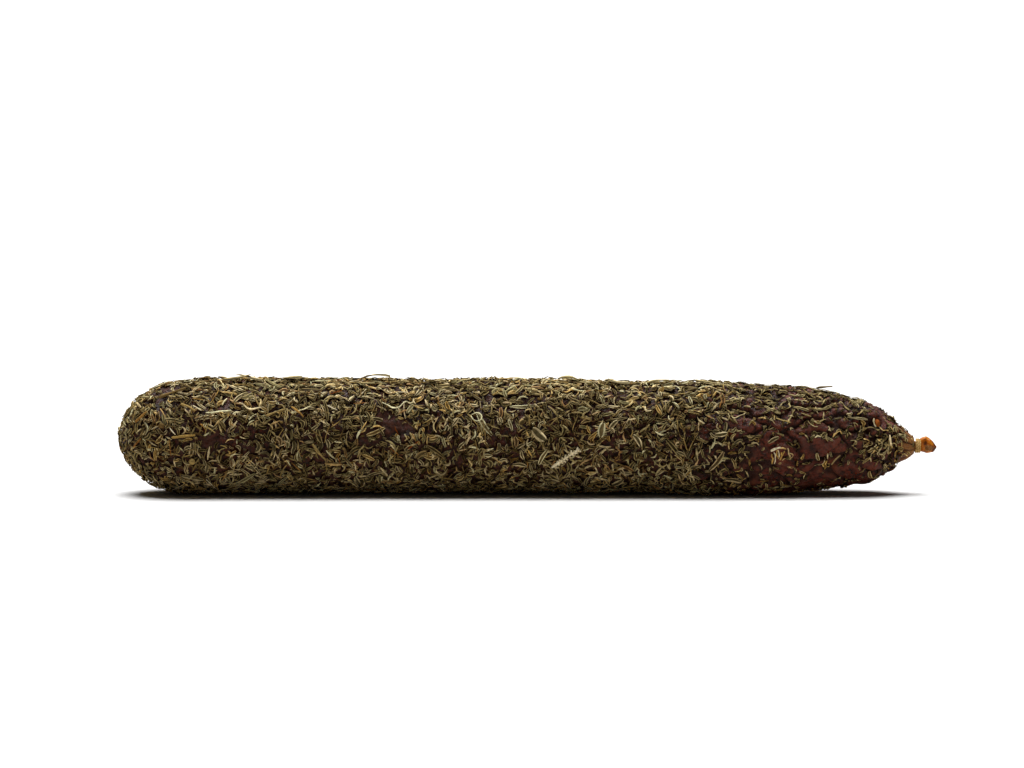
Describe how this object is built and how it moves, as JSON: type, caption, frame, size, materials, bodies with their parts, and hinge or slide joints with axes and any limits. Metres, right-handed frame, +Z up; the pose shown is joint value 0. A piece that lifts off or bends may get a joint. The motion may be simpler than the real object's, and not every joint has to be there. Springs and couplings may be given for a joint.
{
  "type": "cured sausage",
  "caption": "Whole dry-cured sausage rolled in dried herbs, lying on its side, with one rounded end and one end gathered and tied with twine.",
  "frame": {"origin": "middle of the footprint box, on the surface the sausage lies on", "axes": "+X along the sausage towards the tied end, +Z up, the side with the single herb pieces faces -Y"},
  "size_m": [0.27, 0.0416, 0.0388],
  "materials": {
    "casing": "dark maroon wrinkled natural casing, satin; dried amber tail",
    "dried_herbs": "matt crumpled dried leaves, olive to brown with pale edges",
    "dried_stalks": "matt straw-coloured stalks, buds and flower bits",
    "seed": "satin orange-brown seed husk",
    "twine": "matt twisted cotton"
  },
  "bodies": {
    "root": {"sausage_body": "casing", "herb_coat": "dried_herbs", "neck_tie": "twine", "bud_01": "dried_stalks", "bud_02": "dried_stalks", "flower_fringe_01": "dried_stalks", "flower_spike_01": "dried_stalks", "leaf_01": "dried_herbs", "leaf_02": "dried_herbs", "leaf_03": "dried_herbs", "leaf_04": "dried_herbs", "leaf_05": "dried_herbs", "leaf_06": "dried_herbs", "seed_01": "seed", "stalk_01": "dried_stalks", "stalk_02": "dried_stalks", "stalk_03": "dried_stalks", "stalk_04": "dried_stalks", "stalk_05": "dried_stalks", "stalk_06": "dried_stalks", "stalk_07": "dried_stalks", "stalk_08": "dried_stalks", "stalk_09": "dried_stalks", "stalk_10": "dried_stalks", "stalk_11": "dried_stalks"}
  },
  "joints": []
}
